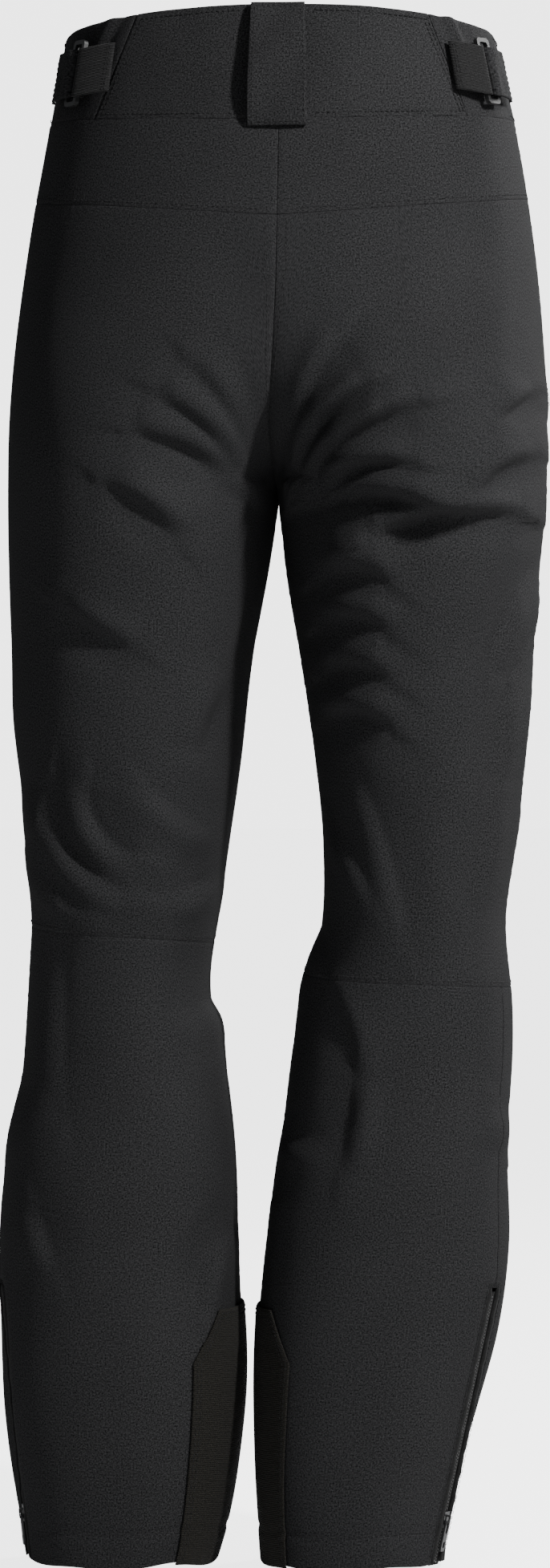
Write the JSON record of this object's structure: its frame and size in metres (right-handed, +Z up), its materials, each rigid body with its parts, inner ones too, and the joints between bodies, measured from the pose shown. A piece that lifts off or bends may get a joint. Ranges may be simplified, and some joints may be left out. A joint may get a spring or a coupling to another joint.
{
  "type": "ski pants",
  "caption": "Insulated ski pants with yoked seat, zipped fly, hand pockets and hems, elastic waist adjusters, scuff guards, snow gaiters and full lining.",
  "frame": {"origin": "centre of the waist opening, level with the waistband's top at the back; the garment hangs below it", "axes": "+Z up, -Y the way the wearer faces, +X the wearer's left"},
  "size_m": [0.3777, 0.2714, 1.062],
  "materials": {
    "shell_fabric": "matte fine plain weave",
    "guard_fabric": "matte coarse ribbed weave",
    "lining_fabric": "satin taffeta",
    "elastic_webbing": "matte ribbed",
    "zip_tape": "matte with moulded teeth",
    "black_plastic": "glossy",
    "dark_metal": "satin black"
  },
  "bodies": {
    "trousers": {"adjuster_elastic_left": "elastic_webbing", "adjuster_elastic_right": "elastic_webbing", "adjuster_ring_left": "black_plastic", "adjuster_ring_right": "black_plastic", "adjuster_tab_left": "shell_fabric", "adjuster_tab_right": "shell_fabric", "back_panel_left": "shell_fabric", "back_panel_right": "shell_fabric", "back_yoke_left": "shell_fabric", "back_yoke_right": "shell_fabric", "belt_loop_back": "shell_fabric", "belt_loop_front_left": "shell_fabric", "belt_loop_front_right": "shell_fabric", "fly_guard": "shell_fabric", "fly_zip_tape_left": "zip_tape", "fly_zip_tape_right": "zip_tape", "front_panel_left": "shell_fabric", "front_panel_right": "shell_fabric", "gaiter_left": "lining_fabric", "gaiter_right": "lining_fabric", "hem_zip_left_tape_back": "zip_tape", "hem_zip_left_tape_front": "zip_tape", "hem_zip_right_tape_back": "zip_tape", "hem_zip_right_tape_front": "zip_tape", "lining_left": "lining_fabric", "lining_right": "lining_fabric", "lower_back_left": "shell_fabric", "lower_back_right": "shell_fabric", "lower_front_left": "shell_fabric", "lower_front_right": "shell_fabric", "pocket_bag_left": "lining_fabric", "pocket_bag_right": "lining_fabric", "pocket_zip_left_tape_front": "zip_tape", "pocket_zip_left_tape_side": "zip_tape", "pocket_zip_right_tape_front": "zip_tape", "pocket_zip_right_tape_side": "zip_tape", "scuff_guard_left": "guard_fabric", "scuff_guard_right": "guard_fabric", "snap_cap_lower": "dark_metal", "snap_cap_upper": "dark_metal", "snap_stud_lower": "dark_metal", "snap_stud_upper": "dark_metal", "waist_closure_tab": "shell_fabric", "waist_gusset_left": "shell_fabric", "waist_gusset_right": "shell_fabric", "waistband_back": "shell_fabric", "waistband_facing": "lining_fabric", "waistband_front_left": "shell_fabric", "waistband_front_right": "shell_fabric"},
    "hem_zip_left_slider_body": {"hem_zip_left_slider": "dark_metal"},
    "hem_zip_left_puller_body": {"hem_zip_left_puller": "dark_metal"},
    "pocket_zip_left_slider_body": {"pocket_zip_left_slider": "dark_metal"},
    "pocket_zip_left_puller_body": {"pocket_zip_left_puller": "dark_metal"},
    "hem_zip_right_slider_body": {"hem_zip_right_slider": "dark_metal"},
    "hem_zip_right_puller_body": {"hem_zip_right_puller": "dark_metal"},
    "pocket_zip_right_slider_body": {"pocket_zip_right_slider": "dark_metal"},
    "pocket_zip_right_puller_body": {"pocket_zip_right_puller": "dark_metal"},
    "fly_zip_slider_body": {"fly_zip_slider": "dark_metal"},
    "fly_zip_puller_body": {"fly_zip_puller": "dark_metal"}
  },
  "joints": [
    {"name": "hem_zip_left_slide", "type": "slide", "parent": "trousers", "child": "hem_zip_left_slider_body", "axis": [0.1012, 0.0032, 0.9949], "range_m": [0, 0.143]},
    {"name": "hem_zip_left_puller_hinge", "type": "hinge", "parent": "hem_zip_left_slider_body", "child": "hem_zip_left_puller_body", "pos_m": [0.17514, 0.03361, -1.02357], "axis": [0.265, -0.9639, -0.0238], "range_deg": [0, 165]},
    {"name": "pocket_zip_left_slide", "type": "slide", "parent": "trousers", "child": "pocket_zip_left_slider_body", "axis": [0.1865, 0.1623, -0.969], "range_m": [0, 0.12]},
    {"name": "pocket_zip_left_puller_hinge", "type": "hinge", "parent": "pocket_zip_left_slider_body", "child": "pocket_zip_left_puller_body", "pos_m": [0.15511, -0.05049, -0.11763], "axis": [-0.311, -0.9258, -0.2149], "range_deg": [0, 165]},
    {"name": "hem_zip_right_slide", "type": "slide", "parent": "trousers", "child": "hem_zip_right_slider_body", "axis": [-0.2106, 0.0058, 0.9776], "range_m": [0, 0.146]},
    {"name": "hem_zip_right_puller_hinge", "type": "hinge", "parent": "hem_zip_right_slider_body", "child": "hem_zip_right_puller_body", "pos_m": [-0.11774, 0.0406, -1.02431], "axis": [0.3167, 0.9465, 0.0626], "range_deg": [0, 165]},
    {"name": "pocket_zip_right_slide", "type": "slide", "parent": "trousers", "child": "pocket_zip_right_slider_body", "axis": [-0.1601, 0.1631, -0.9735], "range_m": [0, 0.119]},
    {"name": "pocket_zip_right_puller_hinge", "type": "hinge", "parent": "pocket_zip_right_slider_body", "child": "pocket_zip_right_puller_body", "pos_m": [-0.16015, -0.05043, -0.11772], "axis": [-0.2961, 0.9329, 0.205], "range_deg": [0, 165]},
    {"name": "fly_zip_slide", "type": "slide", "parent": "trousers", "child": "fly_zip_slider_body", "axis": [0.008, -0.0575, -0.9983], "range_m": [0, 0.097]},
    {"name": "fly_zip_puller_hinge", "type": "hinge", "parent": "fly_zip_slider_body", "child": "fly_zip_puller_body", "pos_m": [-0.00792, -0.11468, -0.08995], "axis": [-1, 0, -0.0081], "range_deg": [0, 165]}
  ]
}
